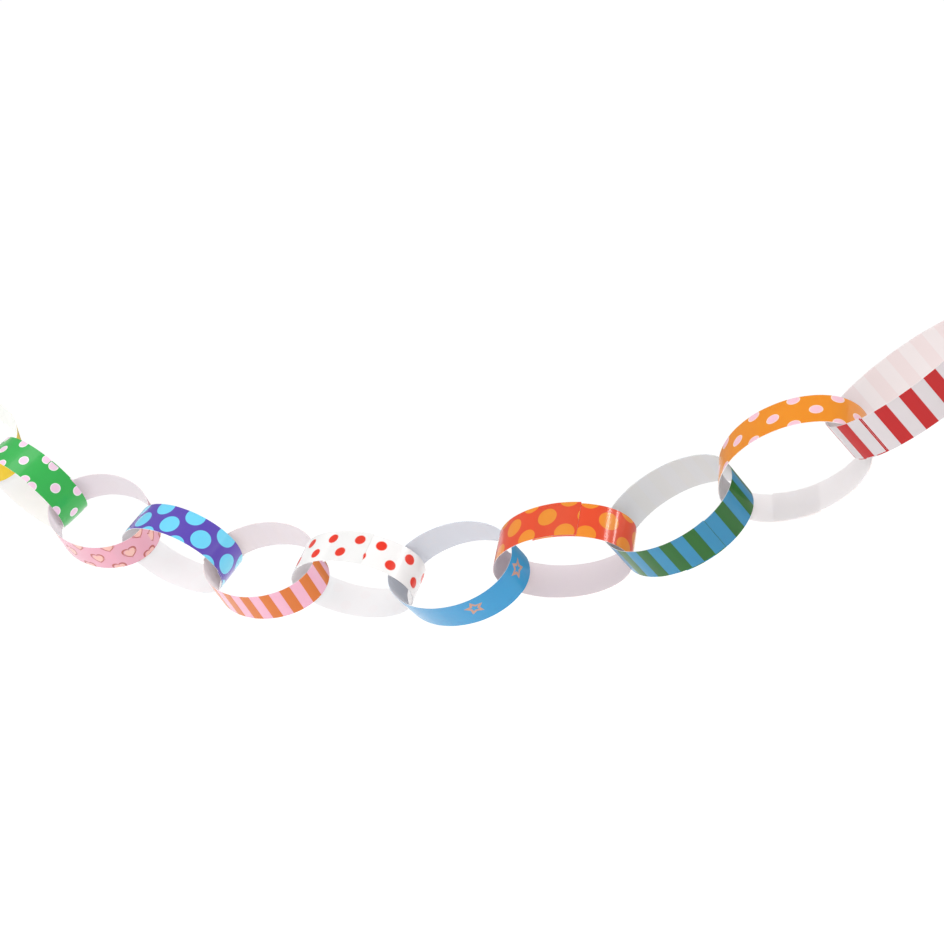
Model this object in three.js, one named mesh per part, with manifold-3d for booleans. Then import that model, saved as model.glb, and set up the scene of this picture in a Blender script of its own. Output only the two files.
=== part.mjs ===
// Paper chain garland: eleven printed paper strips, each glued into an oval link through the one before.
// Units are millimetres, +X runs along the chain, +Z is up, and the chain hangs in the XZ plane.
// The origin is the inside of the first link's outer end, where a hook holds the chain up.

import * as THREE from 'three';
import { mergeVertices } from 'three/addons/utils/BufferGeometryUtils.js';
import Module from 'manifold-3d';

const wasm = await Module();
wasm.setup();

// ---------- driving dimensions ----------

const stripLength = 216;        // cut across a letter-size sheet
const stripWidth = 20;
const lapLength = 22;           // glued overlap of the strip's two ends
const paper = 0.25;             // thickness of the coated sheet
const glueBite = 0.02;          // how far the two glued layers press into each other
const lapSkew = 0.7;            // the strip's end lies this far to one side of its start

const linkSpacing = 62.4;       // centre to centre, along the curve that the chain hangs in
const hangCurve = 520;          // radius of that catenary at its lowest point
const lowestLink = 4.77;        // where the curve is lowest, counted in links from the first

const facetsPerTurn = 60;       // flat facets once round a link

// roll is how far a link is turned about the chain, and turn and tip are the small angles by which it
// swings sideways and noses up, all in degrees. rise is how far it rides above the curve. proportion is
// the oval's length over its width. The strip's outer end is at lapEnd round the oval, which counts from
// the link's right-hand tip, and winding says which way the strip is rolled.
const links = [
  { name: 'yellow_link', colour: 0xf2c531,
    roll: 40, turn: 0, tip: 0, rise: 0, proportion: 1.42, lapEnd: 300, winding: 1 },
  { name: 'green_dots_link', colour: 0x41af5c,
    roll: -43, turn: 2, tip: 0, rise: -1, proportion: 1.38, lapEnd: 296, winding: -1 },
  { name: 'hearts_link', colour: 0xeeb4c3,
    roll: 49, turn: 0, tip: -1, rise: 0, proportion: 1.38, lapEnd: 5, winding: 1 },
  { name: 'purple_dots_link', colour: 0x5f4baf,
    roll: -46, turn: -1, tip: -1, rise: 1, proportion: 1.44, lapEnd: 36, winding: 1 },
  { name: 'orange_stripes_link', colour: 0xe17d2d,
    roll: 49, turn: 2, tip: 0, rise: 0, proportion: 1.39, lapEnd: 192, winding: 1 },
  { name: 'red_dots_link', colour: 0xf6f4f0,
    roll: -42, turn: 1, tip: 0, rise: 1.5, proportion: 1.5, lapEnd: 297, winding: 1 },
  { name: 'stars_link', colour: 0x4ba5d2,
    roll: 59, turn: 1, tip: 1, rise: -1, proportion: 1.47, lapEnd: 24, winding: 1 },
  { name: 'orange_dots_link', colour: 0xe65a32,
    roll: -38, turn: 1, tip: 3, rise: -0.5, proportion: 1.5, lapEnd: 302, winding: 1 },
  { name: 'blue_green_stripes_link', colour: 0x46a0d2,
    roll: 48, turn: 2, tip: -1, rise: -1.5, proportion: 1.32, lapEnd: 303, winding: 1 },
  { name: 'pink_dots_link', colour: 0xf0962d,
    roll: -48, turn: 1, tip: 3, rise: -0.5, proportion: 1.46, lapEnd: 92, winding: -1 },
  { name: 'red_stripes_link', colour: 0xc8323c,
    roll: 34, turn: 5, tip: -1, rise: 0.5, proportion: 1.85, lapEnd: 232, winding: 1 },
];

const degrees = THREE.MathUtils.degToRad;
const fullTurn = 2 * Math.PI;
const facetAngle = fullTurn / facetsPerTurn;

// ---------- one strip ----------

// Half the length and half the width of an oval that is as long round as the glued loop.
function ovalSize(proportion) {
  const flatness = ((proportion - 1) / (proportion + 1)) ** 2;
  const roundness = 1 + (3 * flatness) / (10 + Math.sqrt(4 - 3 * flatness));
  const halfWidth = (stripLength - lapLength) / (Math.PI * (proportion + 1) * roundness);
  return { halfLength: halfWidth * proportion, halfWidth };
}

// How many facets the glued lap covers, for an outer end at the given angle.
function lapFacets({ halfLength, halfWidth }, lapEnd) {
  const facetLength = facetAngle * Math.hypot(halfLength * Math.sin(lapEnd), halfWidth * Math.cos(lapEnd));
  return Math.round(lapLength / facetLength);
}

// The middle line of the sheet from one facet to another, counted along the strip from its inner end.
// The strip creeps outward as it goes round, so its outer end lies on its start, and it drifts sideways.
class StripPath extends THREE.Curve {
  constructor(loop, firstFacet, lastFacet) {
    super();
    this.loop = loop;
    this.firstFacet = firstFacet;
    this.lastFacet = lastFacet;
  }

  facetAt(t) {
    return THREE.MathUtils.lerp(this.firstFacet, this.lastFacet, t);
  }

  angleAt(t) {
    const { startAngle, winding } = this.loop;
    return startAngle + winding * facetAngle * this.facetAt(t);
  }

  outwardAt(t) {
    const { halfLength, halfWidth } = this.loop.oval;
    const angle = this.angleAt(t);
    return new THREE.Vector3(halfWidth * Math.cos(angle), halfLength * Math.sin(angle), 0).normalize();
  }

  getPoint(t, target = new THREE.Vector3()) {
    const { oval, allFacets, winding } = this.loop;
    const facet = this.facetAt(t);
    const creep = (paper - glueBite) * (facet / facetsPerTurn);
    const drift = winding * lapSkew * (facet / allFacets - 0.5);
    const angle = this.angleAt(t);
    target.set(oval.halfLength * Math.cos(angle), oval.halfWidth * Math.sin(angle), drift);
    return target.addScaledVector(this.outwardAt(t), creep);
  }

  // Steps are even in angle, so the facets of the two glued layers lie flat on each other.
  getUtoTmapping(u) {
    return u;
  }

  // The strip's width stays along Z all the way round, and its thickness points outward.
  computeFrenetFrames(segments) {
    const tangents = [];
    const normals = [];
    const binormals = [];
    for (let i = 0; i <= segments; i += 1) {
      const width = new THREE.Vector3(0, 0, 1);
      const thickness = this.outwardAt(i / segments).multiplyScalar(this.loop.winding);
      tangents.push(new THREE.Vector3().crossVectors(width, thickness));
      normals.push(width);
      binormals.push(thickness);
    }
    return { tangents, normals, binormals };
  }
}

// A stretch of the strip as a solid with a rectangular section.
function stretch(loop, firstFacet, lastFacet) {
  const section = new THREE.Shape();
  section.moveTo(-stripWidth / 2, -paper / 2);
  section.lineTo(stripWidth / 2, -paper / 2);
  section.lineTo(stripWidth / 2, paper / 2);
  section.lineTo(-stripWidth / 2, paper / 2);
  const extrudePath = new StripPath(loop, firstFacet, lastFacet);
  const swept = new THREE.ExtrudeGeometry(section, { steps: lastFacet - firstFacet, extrudePath });
  swept.deleteAttribute('normal');
  swept.deleteAttribute('uv');
  const closed = mergeVertices(swept, 1e-5);
  const vertProperties = Float32Array.from(closed.attributes.position.array);
  const triVerts = Uint32Array.from(closed.index.array);
  return new wasm.Manifold(new wasm.Mesh({ numProp: 3, vertProperties, triVerts }));
}

// A whole strip, glued into a ring: its two halves meet at the middle and lap at the ends.
function ringGeometry(link) {
  const oval = ovalSize(link.proportion);
  const lap = lapFacets(oval, degrees(link.lapEnd));
  const allFacets = facetsPerTurn + lap;
  const startAngle = degrees(link.lapEnd) - link.winding * lap * facetAngle;
  const loop = { oval, allFacets, startAngle, winding: link.winding };
  const middle = Math.floor(allFacets / 2);
  const ring = stretch(loop, 0, middle).add(stretch(loop, middle, allFacets));
  const { vertProperties, triVerts } = ring.getMesh();
  const geometry = new THREE.BufferGeometry();
  geometry.setAttribute('position', new THREE.BufferAttribute(vertProperties, 3));
  geometry.setIndex(new THREE.BufferAttribute(triVerts, 1));
  geometry.computeVertexNormals();
  return geometry;
}

// ---------- the chain ----------

// Places a link on the catenary, level with the curve's slope, and gives it its own small pose.
function hangLink(link, index) {
  const material = new THREE.MeshStandardMaterial({ color: link.colour, roughness: 0.45, metalness: 0 });
  const mesh = new THREE.Mesh(ringGeometry(link), material);
  mesh.name = link.name;
  mesh.position.z = link.rise;
  mesh.rotation.set(degrees(link.roll), degrees(link.tip), degrees(link.turn));

  const along = (index - lowestLink) * linkSpacing;
  const place = new THREE.Group();
  place.position.x = hangCurve * Math.asinh(along / hangCurve);
  place.position.z = Math.hypot(hangCurve, along) - hangCurve;
  place.rotation.y = -Math.atan(along / hangCurve);
  place.add(mesh);
  return place;
}

const chain = new THREE.Group();
chain.add(...links.map(hangLink));
chain.updateMatrixWorld(true);

const firstLink = chain.getObjectByName(links[0].name);
const hookReach = ovalSize(links[0].proportion).halfLength - paper / 2;
chain.position.copy(firstLink.localToWorld(new THREE.Vector3(-hookReach, 0, 0))).negate();

export default chain;
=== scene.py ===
"""Paper chain garland: the printed paper looks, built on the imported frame.

Each link is one strip of coated paper, printed on one side, rolled into an oval ring and glued to itself
through the ring before it. Sizes are in millimetres until they reach Blender, which works in metres.
"""

import math

import bpy
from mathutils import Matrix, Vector
from bpy.props import FloatProperty, FloatVectorProperty, IntProperty, PointerProperty


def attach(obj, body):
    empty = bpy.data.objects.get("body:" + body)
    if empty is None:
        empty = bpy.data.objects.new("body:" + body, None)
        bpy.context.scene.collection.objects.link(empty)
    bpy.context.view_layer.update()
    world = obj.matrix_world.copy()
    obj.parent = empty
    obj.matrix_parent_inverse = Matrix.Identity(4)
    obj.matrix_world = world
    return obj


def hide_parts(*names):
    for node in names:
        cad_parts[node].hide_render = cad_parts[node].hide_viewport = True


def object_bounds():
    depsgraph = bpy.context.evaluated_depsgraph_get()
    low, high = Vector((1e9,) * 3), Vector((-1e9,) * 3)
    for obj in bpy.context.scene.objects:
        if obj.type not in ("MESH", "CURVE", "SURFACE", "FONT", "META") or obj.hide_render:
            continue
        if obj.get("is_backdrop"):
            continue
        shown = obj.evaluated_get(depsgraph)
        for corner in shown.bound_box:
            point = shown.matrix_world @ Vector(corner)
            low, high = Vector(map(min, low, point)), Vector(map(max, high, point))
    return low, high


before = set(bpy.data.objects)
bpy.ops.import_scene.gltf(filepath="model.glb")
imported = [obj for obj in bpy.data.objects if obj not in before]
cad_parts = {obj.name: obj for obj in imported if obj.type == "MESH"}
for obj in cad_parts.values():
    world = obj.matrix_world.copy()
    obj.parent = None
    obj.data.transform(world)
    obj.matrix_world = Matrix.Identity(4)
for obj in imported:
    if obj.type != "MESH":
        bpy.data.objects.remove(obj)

bl_info = {
    "name": "Paper Chain Garland",
    "version": (1, 0, 0),
    "blender": (4, 5, 0),
    "location": "View3D > Sidebar > Garland",
    "description": "Builds a hanging garland of printed paper links and a plain stage for it",
    "category": "Object",
}

MM = 0.001
BODY = "root"
PLACE = "strip_place"
WHITE = (1.0, 1.0, 1.0, 1.0)

# ---------- the links ----------

# The pose of each link on the chain, in degrees and millimetres. proportion is the oval's length over its
# width, lap_end is where its glued lap ends, and winding says which way the strip is rolled.
LINKS = {
    "yellow_link": dict(roll=40, turn=0, tip=0, rise=0, proportion=1.42, lap_end=300, winding=1),
    "green_dots_link": dict(roll=-43, turn=2, tip=0, rise=-1, proportion=1.38, lap_end=296, winding=-1),
    "hearts_link": dict(roll=49, turn=0, tip=-1, rise=0, proportion=1.38, lap_end=5, winding=1),
    "purple_dots_link": dict(roll=-46, turn=-1, tip=-1, rise=1, proportion=1.44, lap_end=36, winding=1),
    "orange_stripes_link": dict(roll=49, turn=2, tip=0, rise=0, proportion=1.39, lap_end=192, winding=1),
    "red_dots_link": dict(roll=-42, turn=1, tip=0, rise=1.5, proportion=1.5, lap_end=297, winding=1),
    "stars_link": dict(roll=59, turn=1, tip=1, rise=-1, proportion=1.47, lap_end=24, winding=1),
    "orange_dots_link": dict(roll=-38, turn=1, tip=3, rise=-0.5, proportion=1.5, lap_end=302, winding=1),
    "blue_green_stripes_link": dict(
        roll=48, turn=2, tip=-1, rise=-1.5, proportion=1.32, lap_end=303, winding=1),
    "pink_dots_link": dict(roll=-48, turn=1, tip=3, rise=-0.5, proportion=1.46, lap_end=92, winding=-1),
    "red_stripes_link": dict(roll=34, turn=5, tip=-1, rise=0.5, proportion=1.85, lap_end=232, winding=1),
}

# Prints have their lengths in millimetres and their colours from 0 to 255. Dots lie in staggered rows. first
# is a dot of the middle row, counted along the strip, and middle is how far that row is from the strip's
# middle line. back is the unprinted face: its greyer values are painted shade of the walls inside the links,
# and its tints are painted light through the printed sheet. through is the print's share mixed into back,
# painted light through the sheet as well.
DOT_PRINTS = {
    "green_dots_link": dict(
        ground=(58, 184, 86), ink=(253, 212, 234), rim=(255, 250, 250), rim_width=0.5,
        radius=3.1, spacing=21, rows=9.2, first=32.4, middle=-0.5, gloss=0.5,
        back=(255, 255, 254), through=0.02),
    "purple_dots_link": dict(
        ground=(98, 74, 184), ink=(116, 216, 252), rim=(98, 74, 184), rim_width=0,
        radius=5.8, spacing=21.4, rows=10.7, first=153.6, middle=-2.8, gloss=0.8,
        back=(254, 254, 255), through=0.02),
    "red_dots_link": dict(
        ground=(250, 249, 247), ink=(236, 54, 32), rim=(250, 190, 180), rim_width=0.3,
        radius=3.1, spacing=16.6, rows=9, first=203.4, middle=-4.4, gloss=0.5,
        back=(254, 253, 253), through=0.02),
    "orange_dots_link": dict(
        ground=(230, 76, 34), ink=(240, 146, 34), rim=(232, 78, 36), rim_width=0,
        radius=5, spacing=20.5, rows=10.2, first=37, middle=2, gloss=0.9,
        back=(234, 223, 226), through=0.02),
    "pink_dots_link": dict(
        ground=(238, 146, 18), ink=(250, 199, 213), rim=(250, 225, 210), rim_width=0.4,
        radius=3.1, spacing=19.6, rows=9.2, first=96.9, middle=-0.8, gloss=0.5,
        back=(253, 248, 249), through=0.02),
}

# Here too the greyer and tinted back colours are painted shade and painted light through the sheet.
STRIPE_PRINTS = {
    "orange_stripes_link": dict(
        ground=(239, 180, 201), ink=(218, 116, 28), width=6.1, first=54.3, gloss=0.45,
        back=(240, 231, 233), through=0.02),
    "blue_green_stripes_link": dict(
        ground=(34, 134, 176), ink=(0, 98, 2), width=6.3, first=28.05, gloss=0.5,
        back=(222, 223, 224), through=0.05),
    # The white ground of these stripes is painted grey: painted shade of this link's near wall, which faces
    # down and away from the light.
    "red_stripes_link": dict(
        ground=(213, 205, 207), ink=(188, 0, 4), width=6.25, first=24.5, gloss=0.4,
        back=(245, 238, 238), through=0.1),
}

# In the heart and star prints below, the back colour also holds painted shade, tinted by painted light
# through the sheet.
HEART_PRINT = dict(
    ground=(232, 170, 188), ink=(190, 104, 96), fill=(243, 190, 178),
    size=3.9, line=0.24, spacing=19.9, rows=10, first=203.3, middle=-1, gloss=0.4,
    back=(240, 230, 234), through=0.03)

# One star is left out, at bare millimetres along the strip.
STAR_PRINT = dict(
    ground=(8, 146, 199), ink=(196, 146, 122), radius=5.6, line=1.25,
    spacing=30.6, rows=22, first=171.5, middle=2.2, bare=140.9, gloss=0.6,
    back=(220, 223, 230), through=0.02)

YELLOW = dict(ground=(242, 208, 34), gloss=0.45, back=(254, 254, 252), through=0.03)

# Tall narrow soft boxes that the coated paper mirrors, each with its bearing, its height as an angle and
# its length in metres.
SOFT_BOXES = (
    ("long_box", math.radians(4), math.radians(43), 2.2),
    ("short_box", math.radians(20), math.radians(36), 1.2),
)

# How the strips bend: how close the uneven bends lie round a link, how far apart two links' bends are
# drawn, and the angle over which an edge of the sheet is sharp.
BEND_SCALE = 3.2
SEED_STEP = 1.7
SHARP_ANGLE = math.radians(60)

# Half the width, in millimetres, over which the edge of a printed dot or star goes from ground to ink.
DOT_EDGE = 0.08
STAR_EDGE = 0.12
# The same for stripes and hearts, as a share of the wave or the shape that draws them.
STRIPE_EDGE = 0.04
HEART_EDGE = 0.02

# How far a heart's fill is printed off its outline, as shares of the heart's size.
FILL_ASIDE = 0.12
FILL_DOWN = 0.1

# The finish of the sheet. Clouding in the ink adds up to CLOUD_ROUGHNESS to the printed face's roughness.
PRINT_ROUGHNESS = 0.30
CLOUD_ROUGHNESS = 0.08
BACK_ROUGHNESS = 0.85
COAT_ROUGHNESS = 0.12
SPECULAR = 0.25
TRANSLUCENCY = 0.4
LIGHT_REACH = 0.5 * MM
BUMP_STRENGTH = 0.25
BUMP_HEIGHT = 0.05 * MM
FIBRE_SCALE = 5.5
CLOUD_SCALE = 90.0

# Plain paper has broad faint patches of a deeper tone.
PATCH_SCALE = 0.12
PATCH_TONE = (0.94, 0.92, 0.9)


def linear(rgb):
    """A screen colour from 0 to 255 as the scene-linear colour that a shader takes."""
    channels = [value / 255 for value in rgb]
    return (*(c / 12.92 if c <= 0.04045 else ((c + 0.055) / 1.055) ** 2.4 for c in channels), 1.0)


# ---------- settings ----------

class GARLAND_PG_strip(bpy.types.PropertyGroup):
    """The paper strips and the curve that the chain hangs in."""
    length: FloatProperty(name="Strip Length", description="Length of a flat strip",
                          default=216 * MM, unit="LENGTH")
    width: FloatProperty(name="Strip Width", description="Width of a flat strip",
                         default=20 * MM, unit="LENGTH")
    lap: FloatProperty(name="Lap", description="Glued overlap of a strip's ends",
                       default=22 * MM, unit="LENGTH")
    paper: FloatProperty(name="Paper", description="Thickness of the sheet",
                         default=0.25 * MM, unit="LENGTH")
    bite: FloatProperty(name="Glue Bite", description="How far glued layers press together",
                        default=0.02 * MM, unit="LENGTH")
    skew: FloatProperty(name="Lap Skew", description="How far a strip's end lies beside its start",
                        default=0.7 * MM, unit="LENGTH")
    waviness: FloatProperty(name="Waviness", description="How unevenly a strip is bent by hand",
                            default=0.16 * MM, unit="LENGTH")
    spacing: FloatProperty(name="Link Spacing", description="Distance between links along the chain",
                           default=62.4 * MM, unit="LENGTH")
    hang: FloatProperty(name="Hang Curve", description="Radius of the catenary at its lowest point",
                        default=520 * MM, unit="LENGTH")
    lowest: FloatProperty(name="Lowest Link", description="Where the chain is lowest, counted in links",
                          default=4.77)
    facets: IntProperty(name="Facets", description="Facets in a full turn that the lap is counted in",
                        default=60)
    steps: IntProperty(name="Steps", description="Mesh steps along a strip", default=480)
    rows: IntProperty(name="Rows", description="Mesh steps across a strip", default=12)


class GARLAND_PG_stage(bpy.types.PropertyGroup):
    """The floor, the light and the camera."""
    floor_drop: FloatProperty(name="Floor Drop", description="Floor's distance below the garland",
                              default=0.25, unit="LENGTH")
    floor_size: FloatProperty(name="Floor Size", description="Side of the square floor",
                              default=16.0, unit="LENGTH")
    floor_thickness: FloatProperty(name="Floor Thickness", description="Thickness of the floor",
                                   default=0.02, unit="LENGTH")
    floor_shade: FloatProperty(name="Floor Shade", description="How pale the floor is", default=0.92)
    glow: FloatProperty(name="Floor Glow", description="Light that the floor gives off, as a lit table does",
                        default=0.28)
    ambient: FloatProperty(name="Ambient", description="Strength of the light from all round", default=0.61)
    reflected: FloatProperty(name="Reflected", description="Strength of the surroundings in reflections",
                             default=0.3)
    backdrop: FloatProperty(name="Backdrop", description="Strength of the surroundings behind the garland",
                            default=1.02)
    key: FloatProperty(name="Key", description="Strength of the soft light from above", default=1.2)
    key_spread: FloatProperty(name="Key Spread", description="Width of the soft light in the sky",
                              default=math.radians(50), subtype="ANGLE")
    key_from: FloatVectorProperty(name="Key From", description="Direction that the soft light comes from",
                                  default=(-0.30, -0.69, 0.65), subtype="DIRECTION")
    box_distance: FloatProperty(name="Box Distance", description="Distance from the garland to a soft box",
                                default=4.0, unit="LENGTH")
    box_width: FloatProperty(name="Box Width", description="Width of each soft box",
                             default=0.22, unit="LENGTH")
    box_power: FloatProperty(name="Box Power", description="Watts from each metre of a soft box",
                             default=9.0)
    box_diffuse: FloatProperty(name="Box Diffuse", description="Share of a soft box's light on matt surfaces",
                               default=0.25)
    camera_place: FloatVectorProperty(name="Camera Place", description="Where the camera stands",
                                      default=(0.7734, -0.6477, -0.0400), subtype="TRANSLATION")
    camera_turn: FloatProperty(name="Camera Turn", description="The camera's turn to the left",
                               default=math.radians(30), subtype="ANGLE")
    lens: FloatProperty(name="Lens", description="Focal length in millimetres", default=55.6)


# ---------- building node trees ----------

class Wiring:
    """Adds nodes to a tree and links them up, from left to right."""
    node_step = 180

    def __init__(self, tree):
        self.tree = tree

    def feed(self, socket, value):
        if isinstance(value, bpy.types.NodeSocket):
            self.tree.links.new(value, socket)
        else:
            socket.default_value = value

    def add(self, kind, inputs=None, **settings):
        node = self.tree.nodes.new(kind)
        node.location = (self.node_step * len(self.tree.nodes), 0)
        for name, value in settings.items():
            setattr(node, name, value)
        for key, value in (inputs or {}).items():
            self.feed(node.inputs[key], value)
        return node

    def math(self, operation, *values, clamp=False):
        node = self.add("ShaderNodeMath", dict(enumerate(values)), operation=operation, use_clamp=clamp)
        return node.outputs[0]

    def vector(self, operation, *values):
        sockets = (0, "Scale") if operation == "SCALE" else range(len(values))
        node = self.add("ShaderNodeVectorMath", dict(zip(sockets, values)), operation=operation)
        return node.outputs["Vector"]

    def combine(self, x, y, z):
        return self.add("ShaderNodeCombineXYZ", {0: x, 1: y, 2: z}).outputs[0]

    def separate(self, vector):
        return self.add("ShaderNodeSeparateXYZ", {0: vector}).outputs

    def turned(self, vector, axis, angle):
        inputs = {"Vector": vector, "Angle": angle}
        return self.add("ShaderNodeVectorRotate", inputs, rotation_type=f"{axis}_AXIS").outputs[0]

    def ramp(self, value, low, high, out_low=0.0, out_high=1.0):
        node = self.add("ShaderNodeMapRange", {"Value": value, "From Min": low, "From Max": high,
                                               "To Min": out_low, "To Max": out_high})
        return node.outputs[0]

    def length(self, x, y):
        return self.math("SQRT", self.math("ADD", self.math("MULTIPLY", x, x), self.math("MULTIPLY", y, y)))

    def mix_node(self, values, **settings):
        node = self.add("ShaderNodeMix", **settings)
        for socket, value in zip([s for s in node.inputs if s.enabled], values):
            self.feed(socket, value)
        return next(s for s in node.outputs if s.enabled)

    def mix(self, factor, a, b):
        return self.mix_node((factor, a, b), data_type="FLOAT")

    def blend(self, factor, a, b, blend_type="MIX"):
        return self.mix_node((factor, a, b), data_type="RGBA", blend_type=blend_type)

    def shaded(self, colour, shade):
        return self.blend(1.0, colour, self.combine(shade, shade, shade), "MULTIPLY")

    def noise(self, vector, scale, detail=2.0, roughness=0.5):
        node = self.add("ShaderNodeTexNoise", {"Vector": vector, "Scale": scale, "Detail": detail,
                                               "Roughness": roughness})
        return node.outputs[0]

    def group(self, tree, inputs):
        kind = "GeometryNodeGroup" if self.tree.bl_idname == "GeometryNodeTree" else "ShaderNodeGroup"
        return self.add(kind, inputs, node_tree=tree).outputs


FLOAT = "NodeSocketFloat"
COLOUR = "NodeSocketColor"
VECTOR = "NodeSocketVector"


def new_group(name, kind, inputs, outputs):
    """An empty node group with its sockets. Returns the tree, its wiring, its inputs and its output node."""
    tree = bpy.data.node_groups.new(name, kind)
    for label, socket_type in inputs.items():
        tree.interface.new_socket(name=label, in_out="INPUT", socket_type=socket_type)
    for label, socket_type in outputs.items():
        tree.interface.new_socket(name=label, in_out="OUTPUT", socket_type=socket_type)
    wiring = Wiring(tree)
    given = wiring.add("NodeGroupInput").outputs
    return tree, wiring, given, tree.nodes.new("NodeGroupOutput")


# ---------- the strip's shape ----------

def path_group():
    """Where the middle of the sheet is at a share of the strip's length, and which way faces out there."""
    tree, w, given, end = new_group(
        "Strip Path", "GeometryNodeTree",
        {"Factor": FLOAT, "Half Length": FLOAT, "Half Width": FLOAT, "Start Angle": FLOAT, "Sweep": FLOAT,
         "Creep": FLOAT, "Drift": FLOAT, "Waviness": FLOAT, "Seed": FLOAT},
        {"Point": VECTOR, "Outward": VECTOR})
    angle = w.math("MULTIPLY_ADD", given["Factor"], given["Sweep"], given["Start Angle"])
    cosine = w.math("COSINE", angle)
    sine = w.math("SINE", angle)
    outward = w.vector("NORMALIZE", w.combine(
        w.math("MULTIPLY", cosine, given["Half Width"]), w.math("MULTIPLY", sine, given["Half Length"]), 0.0))
    bends = w.noise(w.combine(cosine, sine, given["Seed"]), BEND_SCALE)
    sideways = w.math("MULTIPLY", sine, sine)
    wave = w.math("MULTIPLY", w.math("MULTIPLY", w.math("SUBTRACT", bends, 0.5), sideways),
                  w.math("MULTIPLY", given["Waviness"], 2.0))
    lift = w.math("ADD", w.math("MULTIPLY", given["Factor"], given["Creep"]), wave)
    drift = w.math("MULTIPLY", w.math("SUBTRACT", given["Factor"], 0.5), given["Drift"])
    oval = w.combine(w.math("MULTIPLY", cosine, given["Half Length"]),
                     w.math("MULTIPLY", sine, given["Half Width"]), drift)
    w.feed(end.inputs["Point"], w.vector("ADD", oval, w.vector("SCALE", outward, lift)))
    w.feed(end.inputs["Outward"], outward)
    return tree


def link_tree(path):
    """A flat strip of paper, rolled round the path and set in its place on the chain."""
    numbers = ["Half Length", "Half Width", "Start Angle", "Sweep", "Creep", "Drift", "Waviness", "Seed"]
    inputs = {name: FLOAT for name in numbers}
    inputs |= {"Strip Width": FLOAT, "Paper": FLOAT, "Steps": "NodeSocketInt", "Rows": "NodeSocketInt",
               "Turn": FLOAT, "Tip": FLOAT, "Roll": FLOAT, "Rise": FLOAT, "Slope": FLOAT, "Centre": VECTOR,
               "Material": "NodeSocketMaterial"}
    outputs = {"Geometry": "NodeSocketGeometry"}
    tree, w, given, end = new_group("Paper Link", "GeometryNodeTree", inputs, outputs)
    shape = {name: given[name] for name in numbers}
    points = w.math("ADD", given["Steps"], 1.0)
    points_across = w.math("ADD", given["Rows"], 1.0)

    line = w.add("GeometryNodeMeshLine", {"Count": points})
    index = w.add("GeometryNodeInputIndex").outputs[0]
    share = w.math("DIVIDE", index, given["Steps"])
    on_path = w.group(path, {"Factor": share, **shape})
    curve = w.add("GeometryNodeMeshToCurve", {0: line.outputs[0]})
    rolled = w.add("GeometryNodeSetPosition", {"Geometry": curve.outputs[0], "Position": on_path["Point"]})
    along = w.add("GeometryNodeSplineParameter").outputs["Length"]

    flat = w.add("GeometryNodeMeshCube", {
        "Size": (1, 1, 1), "Vertices X": points, "Vertices Y": points_across, "Vertices Z": 2})
    x, y, z = w.separate(w.add("GeometryNodeInputPosition").outputs[0])
    factor = w.math("ADD", x, 0.5)
    across = w.math("MULTIPLY", y, given["Strip Width"])
    side = w.math("MULTIPLY", z, 2.0)
    sampled = w.add("GeometryNodeSampleIndex", {
        "Geometry": rolled.outputs[0], "Value": along,
        "Index": w.math("ROUND", w.math("MULTIPLY", factor, given["Steps"]))})
    place = w.combine(sampled.outputs[0], across, side)
    marked = w.add("GeometryNodeStoreNamedAttribute", data_type="FLOAT_VECTOR", domain="POINT")
    w.feed(marked.inputs["Geometry"], flat.outputs[0])
    w.feed(marked.inputs["Name"], PLACE)
    w.feed(marked.inputs["Value"], place)

    spot = w.group(path, {"Factor": factor, **shape})
    layer = w.vector("SCALE", spot["Outward"], w.math("MULTIPLY", z, given["Paper"]))
    local = w.vector("ADD", w.vector("ADD", spot["Point"], layer), w.combine(0.0, 0.0, across))
    posed = w.turned(w.turned(w.turned(local, "Z", given["Turn"]), "Y", given["Tip"]), "X", given["Roll"])
    raised = w.vector("ADD", posed, w.combine(0.0, 0.0, given["Rise"]))
    hung = w.vector("ADD", w.turned(raised, "Y", given["Slope"]), given["Centre"])
    moved = w.add("GeometryNodeSetPosition", {"Geometry": marked.outputs[0], "Position": hung})

    backwards = w.add("FunctionNodeCompare", {"A": given["Sweep"], "B": 0.0}, operation="LESS_THAN")
    facing = w.add("GeometryNodeFlipFaces", {"Mesh": moved.outputs[0], "Selection": backwards.outputs[0]})
    smooth = w.add("GeometryNodeSetShadeSmooth", {0: facing.outputs[0]}, domain="FACE")
    bent = w.add("GeometryNodeInputMeshEdgeAngle").outputs[0]
    corner = w.add("FunctionNodeCompare", {"A": bent, "B": SHARP_ANGLE}, operation="GREATER_THAN")
    sharp = w.add("GeometryNodeSetShadeSmooth", {
        0: smooth.outputs[0], "Selection": corner.outputs[0], "Shade Smooth": False}, domain="EDGE")
    real = w.add("GeometryNodeRealizeInstances", {0: sharp.outputs[0]})
    finished = w.add("GeometryNodeSetMaterial", {"Geometry": real.outputs[0], "Material": given["Material"]})
    w.feed(end.inputs["Geometry"], finished.outputs[0])
    return tree


def oval_size(proportion, around):
    """Half the length and half the width of an oval of that outline."""
    flatness = ((proportion - 1) / (proportion + 1)) ** 2
    roundness = 1 + 3 * flatness / (10 + math.sqrt(4 - 3 * flatness))
    half_width = around / (math.pi * (proportion + 1) * roundness)
    return half_width * proportion, half_width


def hanging(strip, index):
    """The place of a link's middle on the catenary, in the chain's own frame, and the slope there."""
    along = (index - strip.lowest) * strip.spacing
    centre = (strip.hang * math.asinh(along / strip.hang), 0.0, math.hypot(strip.hang, along) - strip.hang)
    return centre, -math.atan(along / strip.hang)


def hook_point(strip):
    """The inside of the first link's outer end in the chain's own frame, which is the row's origin."""
    first = LINKS["yellow_link"]
    half_length, _ = oval_size(first["proportion"], strip.length - strip.lap)
    centre, slope = hanging(strip, 0)
    reach = half_length - strip.paper / 2
    return centre[0] - reach * math.cos(slope), 0.0, centre[2] + reach * math.sin(slope)


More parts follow.
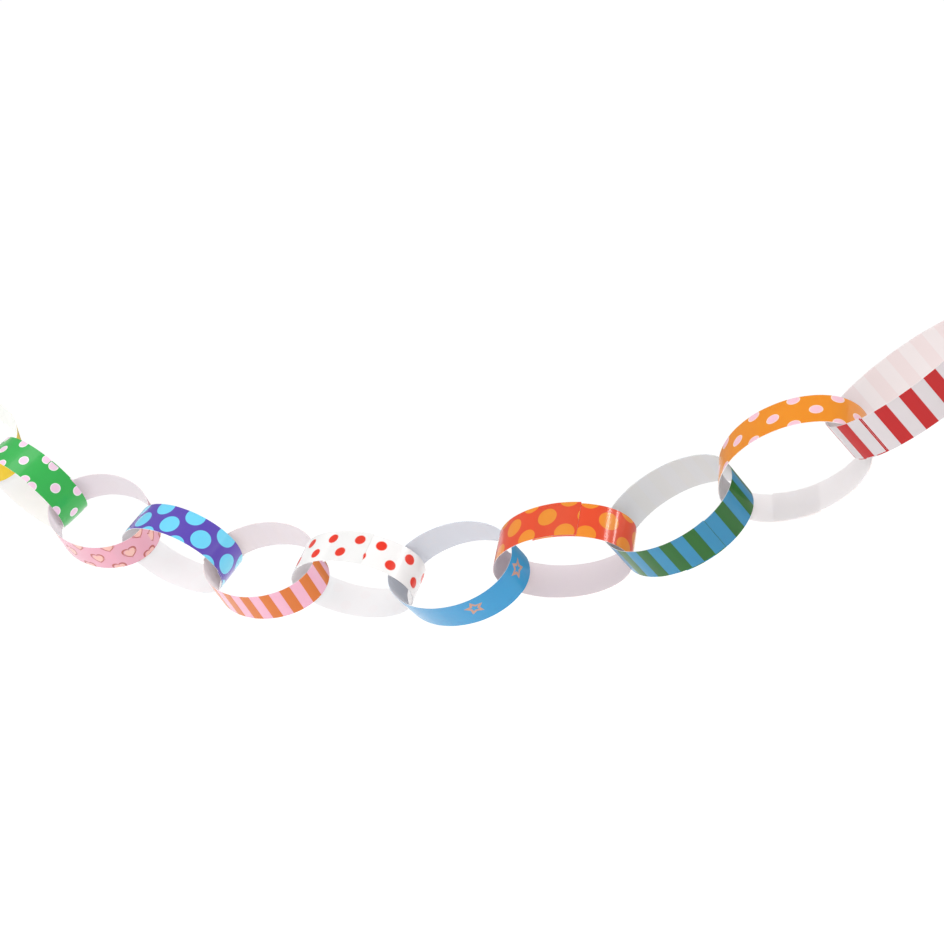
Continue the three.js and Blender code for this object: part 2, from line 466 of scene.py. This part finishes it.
def link_inputs(strip, name):
    """The node inputs that give a link its shape and place."""
    link = LINKS[name]
    index = list(LINKS).index(name)
    half_length, half_width = oval_size(link["proportion"], strip.length - strip.lap)
    end = math.radians(link["lap_end"])
    facet = 2 * math.pi / strip.facets
    facet_length = facet * math.hypot(half_length * math.sin(end), half_width * math.cos(end))
    lap = math.floor(strip.lap / facet_length + 0.5)
    centre, slope = hanging(strip, index)
    hook = hook_point(strip)
    return {
        "Half Length": half_length,
        "Half Width": half_width,
        "Start Angle": end - link["winding"] * lap * facet,
        "Sweep": link["winding"] * (strip.facets + lap) * facet,
        "Creep": (strip.paper - strip.bite) * (strip.facets + lap) / strip.facets,
        "Drift": link["winding"] * strip.skew,
        "Waviness": strip.waviness,
        "Seed": index * SEED_STEP,
        "Strip Width": strip.width,
        "Paper": strip.paper,
        "Steps": strip.steps,
        "Rows": strip.rows,
        "Turn": math.radians(link["turn"]),
        "Tip": math.radians(link["tip"]),
        "Roll": math.radians(link["roll"]),
        "Rise": link["rise"] * MM,
        "Slope": slope,
        "Centre": tuple(c - h for c, h in zip(centre, hook)),
    }


def build_link(context, name, material):
    """Runs the tree for one link, keeps the plain mesh and lets it stand for the frame's own node."""
    tree = bpy.data.node_groups.get("Paper Link") or link_tree(path_group())
    piece = bpy.data.objects.new(name.replace("_link", "_strip"), bpy.data.meshes.new(name))
    context.scene.collection.objects.link(piece)
    modifier = piece.modifiers.new("Paper Link", "NODES")
    modifier.node_group = tree
    sockets = {item.name: item.identifier for item in tree.interface.items_tree if item.in_out == "INPUT"}
    for label, value in link_inputs(context.scene.garland_strip, name).items():
        modifier[sockets[label]] = value
    modifier[sockets["Material"]] = material
    evaluated = piece.evaluated_get(context.evaluated_depsgraph_get())
    plain = bpy.data.meshes.new_from_object(evaluated)
    plain.name = piece.name
    piece.modifiers.clear()
    piece.data = plain
    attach(piece, BODY)
    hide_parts(name)
    return piece


# ---------- printed paper ----------

def place_group():
    """Where a spot of paper is on the flat strip, in millimetres, and whether it is on the printed face."""
    tree, w, _, end = new_group("Strip Place", "ShaderNodeTree", {},
                                {"Along": FLOAT, "Across": FLOAT, "Printed": FLOAT})
    attribute = w.add("ShaderNodeAttribute", attribute_name=PLACE)
    along, across, side = w.separate(attribute.outputs["Vector"])
    w.feed(end.inputs["Along"], w.math("DIVIDE", along, MM))
    w.feed(end.inputs["Across"], w.math("DIVIDE", across, MM))
    w.feed(end.inputs["Printed"], w.ramp(side, 0.5, 0.9))
    return tree


def repeat_group():
    """How far a spot is from the nearest motif of a print in staggered rows."""
    tree, w, given, end = new_group(
        "Staggered Rows", "ShaderNodeTree",
        {"Along": FLOAT, "Across": FLOAT, "Spacing": FLOAT, "Rows": FLOAT, "First": FLOAT, "Middle": FLOAT},
        {"X": FLOAT, "Y": FLOAT})
    along = w.math("DIVIDE", w.math("SUBTRACT", given["Along"], given["First"]), given["Spacing"])
    across = w.math("DIVIDE", w.math("SUBTRACT", given["Across"], given["Middle"]), given["Rows"])
    found = []
    for shift_along, shift_across in ((0.0, 0.0), (0.5, 1.0)):
        u = w.math("SUBTRACT", along, shift_along)
        v = w.math("SUBTRACT", across, shift_across)
        x = w.math("MULTIPLY", w.math("SUBTRACT", u, w.math("ROUND", u)), given["Spacing"])
        row = w.math("MULTIPLY", w.math("ROUND", w.math("MULTIPLY", v, 0.5)), 2.0)
        y = w.math("MULTIPLY", w.math("SUBTRACT", v, row), given["Rows"])
        reach = w.math("ADD", w.math("MULTIPLY", x, x), w.math("MULTIPLY", y, y))
        found.append((x, y, reach))
    (x, y, near), (other_x, other_y, far) = found
    nearer = w.math("LESS_THAN", far, near)
    w.feed(end.inputs["X"], w.mix(nearer, x, other_x))
    w.feed(end.inputs["Y"], w.mix(nearer, y, other_y))
    return tree


def dot_group():
    """A round dot and the thin rim round it."""
    tree, w, given, end = new_group("Round Dot", "ShaderNodeTree",
                                    {"X": FLOAT, "Y": FLOAT, "Radius": FLOAT, "Rim Width": FLOAT},
                                    {"Fill": FLOAT, "Disc": FLOAT})
    inside = w.math("SUBTRACT", given["Radius"], w.length(given["X"], given["Y"]))
    within_rim = w.math("SUBTRACT", inside, given["Rim Width"])
    w.feed(end.inputs["Disc"], w.ramp(inside, -DOT_EDGE, DOT_EDGE))
    w.feed(end.inputs["Fill"], w.ramp(within_rim, -DOT_EDGE, DOT_EDGE))
    return tree


def stripe_group():
    """Stripes of even width, straight across the strip."""
    tree, w, given, end = new_group("Even Stripes", "ShaderNodeTree",
                                    {"Along": FLOAT, "Width": FLOAT, "First": FLOAT}, {"Stripe": FLOAT})
    steps = w.math("DIVIDE", w.math("SUBTRACT", given["Along"], given["First"]), given["Width"])
    wave = w.math("SINE", w.math("MULTIPLY", steps, math.pi))
    w.feed(end.inputs["Stripe"], w.ramp(wave, -STRIPE_EDGE, STRIPE_EDGE))
    return tree


def heart_mask(w, x, y, size):
    """1 inside a heart of about that half width, and 0 outside."""
    u = w.math("DIVIDE", x, size)
    v = w.math("DIVIDE", y, size)
    u2 = w.math("MULTIPLY", u, u)
    v2 = w.math("MULTIPLY", v, v)
    ball = w.math("SUBTRACT", w.math("ADD", u2, v2), 1.0)
    cubed = w.math("MULTIPLY", w.math("MULTIPLY", ball, ball), ball)
    notch = w.math("MULTIPLY", u2, w.math("MULTIPLY", v2, v))
    return w.ramp(w.math("SUBTRACT", notch, cubed), -HEART_EDGE, HEART_EDGE)


def heart_group():
    """A heart drawn as a thin sketched line, with a fill that is printed a little off it."""
    tree, w, given, end = new_group("Sketched Heart", "ShaderNodeTree",
                                    {"X": FLOAT, "Y": FLOAT, "Size": FLOAT, "Line": FLOAT},
                                    {"Outline": FLOAT, "Fill": FLOAT})
    outer = heart_mask(w, given["X"], given["Y"], given["Size"])
    inner_size = w.math("MULTIPLY", given["Size"], w.math("SUBTRACT", 1.0, given["Line"]))
    inner = heart_mask(w, given["X"], given["Y"], inner_size)
    shifted_x = w.math("SUBTRACT", given["X"], w.math("MULTIPLY", given["Size"], FILL_ASIDE))
    shifted_y = w.math("ADD", given["Y"], w.math("MULTIPLY", given["Size"], FILL_DOWN))
    w.feed(end.inputs["Outline"], w.math("SUBTRACT", outer, inner, clamp=True))
    w.feed(end.inputs["Fill"], heart_mask(w, shifted_x, shifted_y, inner_size))
    return tree


def star_group():
    """A five-pointed star drawn as an outline."""
    tree, w, given, end = new_group("Outlined Star", "ShaderNodeTree",
                                    {"X": FLOAT, "Y": FLOAT, "Radius": FLOAT, "Line": FLOAT},
                                    {"Outline": FLOAT})
    point = 2 * math.pi / 5
    valley = 0.5
    angle = w.math("ARCTAN2", given["X"], given["Y"])
    folded = w.math("SUBTRACT", w.math("FLOORED_MODULO", w.math("ADD", angle, point / 2), point), point / 2)
    reach = w.math("DIVIDE", w.length(given["X"], given["Y"]), given["Radius"])
    out = w.math("MULTIPLY", reach, w.math("COSINE", folded))
    aside = w.math("MULTIPLY", reach, w.math("ABSOLUTE", w.math("SINE", folded)))
    run = (valley * math.cos(point / 2) - 1, valley * math.sin(point / 2))
    length = math.hypot(*run)
    normal = (run[1] / length, -run[0] / length)
    from_edge = w.math("ADD", w.math("MULTIPLY", w.math("SUBTRACT", out, 1.0), normal[0]),
                       w.math("MULTIPLY", aside, normal[1]))
    inside = w.math("MULTIPLY", w.math("MULTIPLY", from_edge, -1.0), given["Radius"])
    outer = w.ramp(inside, -STAR_EDGE, STAR_EDGE)
    inner = w.ramp(w.math("SUBTRACT", inside, given["Line"]), -STAR_EDGE, STAR_EDGE)
    w.feed(end.inputs["Outline"], w.math("SUBTRACT", outer, inner, clamp=True))
    return tree


def stock_group():
    """Coated paper: smooth where it is printed, matt with fine fibres, with a painted trace of the print
    behind.
    """
    tree, w, given, end = new_group(
        "Paper Stock", "ShaderNodeTree",
        {"Print": COLOUR, "Printed": FLOAT, "Along": FLOAT, "Across": FLOAT, "Gloss": FLOAT,
         "Back": COLOUR, "Show Through": FLOAT},
        {"Colour": COLOUR, "Roughness": FLOAT, "Coat": FLOAT, "Height": FLOAT})
    spot = w.add("ShaderNodeTexCoord").outputs["Object"]
    grain = w.combine(w.math("MULTIPLY", given["Along"], 0.5), given["Across"], 0.0)
    fibres = w.noise(grain, FIBRE_SCALE, detail=4.0, roughness=0.65)
    clouds = w.noise(spot, CLOUD_SCALE, detail=3.0)
    # Painted light through the sheet: the print's colour mixed into the back colour, which also holds painted
    # shade.
    back = w.blend(given["Show Through"], given["Back"], given["Print"])
    fibre_shade = w.ramp(fibres, 0.25, 0.75, 0.965, 1.0)
    cloud_shade = w.ramp(clouds, 0.3, 0.7, 0.97, 1.0)
    ink = w.shaded(given["Print"], cloud_shade)
    sheet = w.shaded(back, fibre_shade)
    w.feed(end.inputs["Colour"], w.blend(given["Printed"], sheet, ink))
    smooth = w.math("MULTIPLY_ADD", clouds, CLOUD_ROUGHNESS, PRINT_ROUGHNESS)
    w.feed(end.inputs["Roughness"], w.mix(given["Printed"], BACK_ROUGHNESS, smooth))
    w.feed(end.inputs["Coat"], w.math("MULTIPLY", given["Printed"], given["Gloss"]))
    ripple = w.math("MULTIPLY", clouds, 0.5)
    w.feed(end.inputs["Height"], w.mix(given["Printed"], fibres, ripple))
    return tree


GROUP_BUILDERS = {
    "Strip Place": place_group,
    "Staggered Rows": repeat_group,
    "Round Dot": dot_group,
    "Even Stripes": stripe_group,
    "Sketched Heart": heart_group,
    "Outlined Star": star_group,
    "Paper Stock": stock_group,
}


def shared_group(name):
    return bpy.data.node_groups.get(name) or GROUP_BUILDERS[name]()


def paper_material(link, style, draw):
    """A coated paper. draw takes the wiring and the place on the strip, and gives the printed colour."""
    title = link.replace("_link", "").replace("_", " ").title()
    material = bpy.data.materials.new(f"{title} Paper")
    material.use_nodes = True
    w = Wiring(material.node_tree)
    shader = material.node_tree.nodes["Principled BSDF"]
    place = w.group(shared_group("Strip Place"), {})
    printed = draw(w, place)
    stock = w.group(shared_group("Paper Stock"), {
        "Print": printed, "Printed": place["Printed"], "Along": place["Along"], "Across": place["Across"],
        "Gloss": style["gloss"], "Back": linear(style["back"]), "Show Through": style["through"]})
    bump = w.add("ShaderNodeBump", {
        "Height": stock["Height"], "Strength": BUMP_STRENGTH, "Distance": BUMP_HEIGHT})
    w.feed(shader.inputs["Base Color"], stock["Colour"])
    w.feed(shader.inputs["Roughness"], stock["Roughness"])
    w.feed(shader.inputs["Coat Weight"], stock["Coat"])
    w.feed(shader.inputs["Normal"], bump.outputs[0])
    shader.inputs["Coat Roughness"].default_value = COAT_ROUGHNESS
    shader.inputs["Specular IOR Level"].default_value = SPECULAR
    shader.inputs["Subsurface Weight"].default_value = TRANSLUCENCY
    shader.inputs["Subsurface Radius"].default_value = (1.0, 1.0, 1.0)
    shader.inputs["Subsurface Scale"].default_value = LIGHT_REACH
    return material


def motif(w, place, style):
    """The spot's place from the middle of the nearest dot, heart or star."""
    return w.group(shared_group("Staggered Rows"), {
        "Along": place["Along"], "Across": place["Across"], "Spacing": style["spacing"],
        "Rows": style["rows"], "First": style["first"], "Middle": style["middle"]})


# Each of these gives a draw function, which puts a print on its ground colour.

def dotted(style):
    def draw(w, place):
        near = motif(w, place, style)
        dot = w.group(shared_group("Round Dot"), {
            "X": near["X"], "Y": near["Y"], "Radius": style["radius"], "Rim Width": style["rim_width"]})
        rimmed = w.blend(dot["Disc"], linear(style["ground"]), linear(style["rim"]))
        return w.blend(dot["Fill"], rimmed, linear(style["ink"]))
    return draw


def striped(style):
    def draw(w, place):
        stripes = w.group(shared_group("Even Stripes"), {
            "Along": place["Along"], "Width": style["width"], "First": style["first"]})
        return w.blend(stripes["Stripe"], linear(style["ground"]), linear(style["ink"]))
    return draw


def hearted(style):
    def draw(w, place):
        near = motif(w, place, style)
        heart = w.group(shared_group("Sketched Heart"), {
            "X": near["X"], "Y": near["Y"], "Size": style["size"], "Line": style["line"]})
        filled = w.blend(heart["Fill"], linear(style["ground"]), linear(style["fill"]))
        return w.blend(heart["Outline"], filled, linear(style["ink"]))
    return draw


def starred(style):
    def draw(w, place):
        near = motif(w, place, style)
        star = w.group(shared_group("Outlined Star"), {
            "X": near["X"], "Y": near["Y"], "Radius": style["radius"], "Line": style["line"]})
        from_bare = w.math("ABSOLUTE", w.math("SUBTRACT", place["Along"], style["bare"]))
        starry = w.math("GREATER_THAN", from_bare, style["spacing"] / 2)
        shown = w.math("MULTIPLY", star["Outline"], starry)
        return w.blend(shown, linear(style["ground"]), linear(style["ink"]))
    return draw


def plain(style):
    def draw(w, place):
        tone = w.noise(w.combine(place["Along"], place["Across"], 0.0), PATCH_SCALE, detail=1.0)
        ground = linear(style["ground"])
        deeper = (*(channel * share for channel, share in zip(ground, PATCH_TONE)), 1.0)
        return w.blend(w.ramp(tone, 0.3, 0.7), ground, deeper)
    return draw


# ---------- the stage ----------

def lay_floor(context, settings, middle, top):
    """A pale matt slab under the garland that gives off a little light."""
    half = settings.floor_size / 2
    corners = [(middle.x + sx * half, middle.y + sy * half, top - depth)
               for depth in (0, settings.floor_thickness) for sy in (-1, 1) for sx in (-1, 1)]
    faces = [(0, 1, 3, 2), (4, 6, 7, 5), (0, 4, 5, 1), (2, 3, 7, 6), (0, 2, 6, 4), (1, 5, 7, 3)]
    slab = bpy.data.meshes.new("floor")
    slab.from_pydata(corners, [], faces)
    floor = bpy.data.objects.new("floor", slab)
    context.scene.collection.objects.link(floor)
    slab.materials.append(floor_material(settings))
    floor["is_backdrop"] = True


def floor_material(settings):
    matt = bpy.data.materials.new("Pale Floor")
    matt.use_nodes = True
    surface = matt.node_tree.nodes["Principled BSDF"]
    shade = settings.floor_shade
    surface.inputs["Base Color"].default_value = (shade, shade, shade, 1.0)
    surface.inputs["Roughness"].default_value = 0.9
    surface.inputs["Emission Color"].default_value = WHITE
    surface.inputs["Emission Strength"].default_value = settings.glow
    return matt


def light_surroundings(context, settings):
    """White surroundings, with strengths of their own for the camera, for reflections and for the rest."""
    world = bpy.data.worlds.new("Studio")
    world.use_nodes = True
    w = Wiring(world.node_tree)
    background = world.node_tree.nodes["Background"]
    background.inputs["Color"].default_value = WHITE
    rays = w.add("ShaderNodeLightPath").outputs
    lit = w.mix(rays["Is Glossy Ray"], settings.ambient, settings.reflected)
    w.feed(background.inputs["Strength"], w.mix(rays["Is Camera Ray"], lit, settings.backdrop))
    context.scene.world = world


def add_light(context, light, towards):
    """Puts a light into the scene, shining from the given direction."""
    lamp = bpy.data.objects.new(light.name, light)
    lamp.rotation_mode = "QUATERNION"
    lamp.rotation_quaternion = towards.to_track_quat("Z", "Y")
    context.scene.collection.objects.link(lamp)
    return lamp


def place_key(context, settings):
    """The wide soft light from above."""
    sun = bpy.data.lights.new("key", "SUN")
    sun.energy = settings.key
    sun.angle = settings.key_spread
    add_light(context, sun, Vector(settings.key_from))


def place_box(context, settings, name, middle, towards, length):
    """One of the narrow soft boxes, set well away from the garland's middle."""
    box = bpy.data.lights.new(name, "AREA")
    box.shape = "RECTANGLE"
    box.size = settings.box_width
    box.size_y = length
    box.energy = settings.box_power * length
    box.diffuse_factor = settings.box_diffuse
    add_light(context, box, towards).location = middle + towards * settings.box_distance


def place_camera(context, settings):
    """A level camera in front of the garland."""
    camera = bpy.data.objects.new("camera", bpy.data.cameras.new("camera"))
    camera.location = settings.camera_place
    camera.rotation_euler = (math.radians(90), 0.0, settings.camera_turn)
    camera.data.lens = settings.lens
    camera.data.clip_start = 0.01
    camera.data.clip_end = 100.0
    context.scene.collection.objects.link(camera)
    context.scene.camera = camera


# ---------- operators ----------

class GARLAND_OT_plain_links(bpy.types.Operator):
    """Builds the plain yellow link"""
    bl_idname = "garland.plain_links"
    bl_label = "Plain Link"

    def execute(self, context):
        build_link(context, "yellow_link", paper_material("yellow_link", YELLOW, plain(YELLOW)))
        return {"FINISHED"}


class GARLAND_OT_dotted_links(bpy.types.Operator):
    """Builds the links with printed dots"""
    bl_idname = "garland.dotted_links"
    bl_label = "Dotted Links"

    def execute(self, context):
        for name, style in DOT_PRINTS.items():
            build_link(context, name, paper_material(name, style, dotted(style)))
        return {"FINISHED"}


class GARLAND_OT_striped_links(bpy.types.Operator):
    """Builds the links with printed stripes"""
    bl_idname = "garland.striped_links"
    bl_label = "Striped Links"

    def execute(self, context):
        for name, style in STRIPE_PRINTS.items():
            build_link(context, name, paper_material(name, style, striped(style)))
        return {"FINISHED"}


class GARLAND_OT_picture_links(bpy.types.Operator):
    """Builds the links with printed hearts and stars"""
    bl_idname = "garland.picture_links"
    bl_label = "Heart and Star Links"

    def execute(self, context):
        hearts = paper_material("hearts_link", HEART_PRINT, hearted(HEART_PRINT))
        build_link(context, "hearts_link", hearts)
        stars = paper_material("stars_link", STAR_PRINT, starred(STAR_PRINT))
        build_link(context, "stars_link", stars)
        return {"FINISHED"}


class GARLAND_OT_stage(bpy.types.Operator):
    """Builds the pale floor, the soft light and the camera"""
    bl_idname = "garland.stage"
    bl_label = "Stage"

    def execute(self, context):
        settings = context.scene.garland_stage
        low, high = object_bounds()
        middle = (low + high) / 2
        lay_floor(context, settings, middle, low.z - settings.floor_drop)
        light_surroundings(context, settings)
        place_key(context, settings)
        for name, bearing, height, length in SOFT_BOXES:
            towards = Vector((math.cos(bearing) * math.cos(height), math.sin(bearing) * math.cos(height),
                              math.sin(height)))
            place_box(context, settings, name, middle, towards, length)
        place_camera(context, settings)
        context.scene.view_settings.view_transform = "Standard"
        return {"FINISHED"}


class GARLAND_PT_panel(bpy.types.Panel):
    """Lists the garland's operators"""
    bl_idname = "GARLAND_PT_panel"
    bl_label = "Paper Chain Garland"
    bl_space_type = "VIEW_3D"
    bl_region_type = "UI"
    bl_category = "Garland"

    def draw(self, context):
        column = self.layout.column()
        for operator in STEPS:
            column.operator(operator.bl_idname)
        for settings in (context.scene.garland_strip, context.scene.garland_stage):
            for name in settings.bl_rna.properties.keys():
                if name not in ("rna_type", "name"):
                    column.prop(settings, name)


STEPS = (
    GARLAND_OT_plain_links,
    GARLAND_OT_dotted_links,
    GARLAND_OT_striped_links,
    GARLAND_OT_picture_links,
    GARLAND_OT_stage,
)
CLASSES = (GARLAND_PG_strip, GARLAND_PG_stage, *STEPS, GARLAND_PT_panel)


def register():
    for item in CLASSES:
        bpy.utils.register_class(item)
    bpy.types.Scene.garland_strip = PointerProperty(type=GARLAND_PG_strip)
    bpy.types.Scene.garland_stage = PointerProperty(type=GARLAND_PG_stage)


def unregister():
    del bpy.types.Scene.garland_stage
    del bpy.types.Scene.garland_strip
    for item in reversed(CLASSES):
        bpy.utils.unregister_class(item)


def main():
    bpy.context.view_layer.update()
    register()
    bpy.ops.garland.plain_links()
    bpy.ops.garland.dotted_links()
    bpy.ops.garland.striped_links()
    bpy.ops.garland.picture_links()
    bpy.ops.garland.stage()


if __name__ == "__main__":
    main()
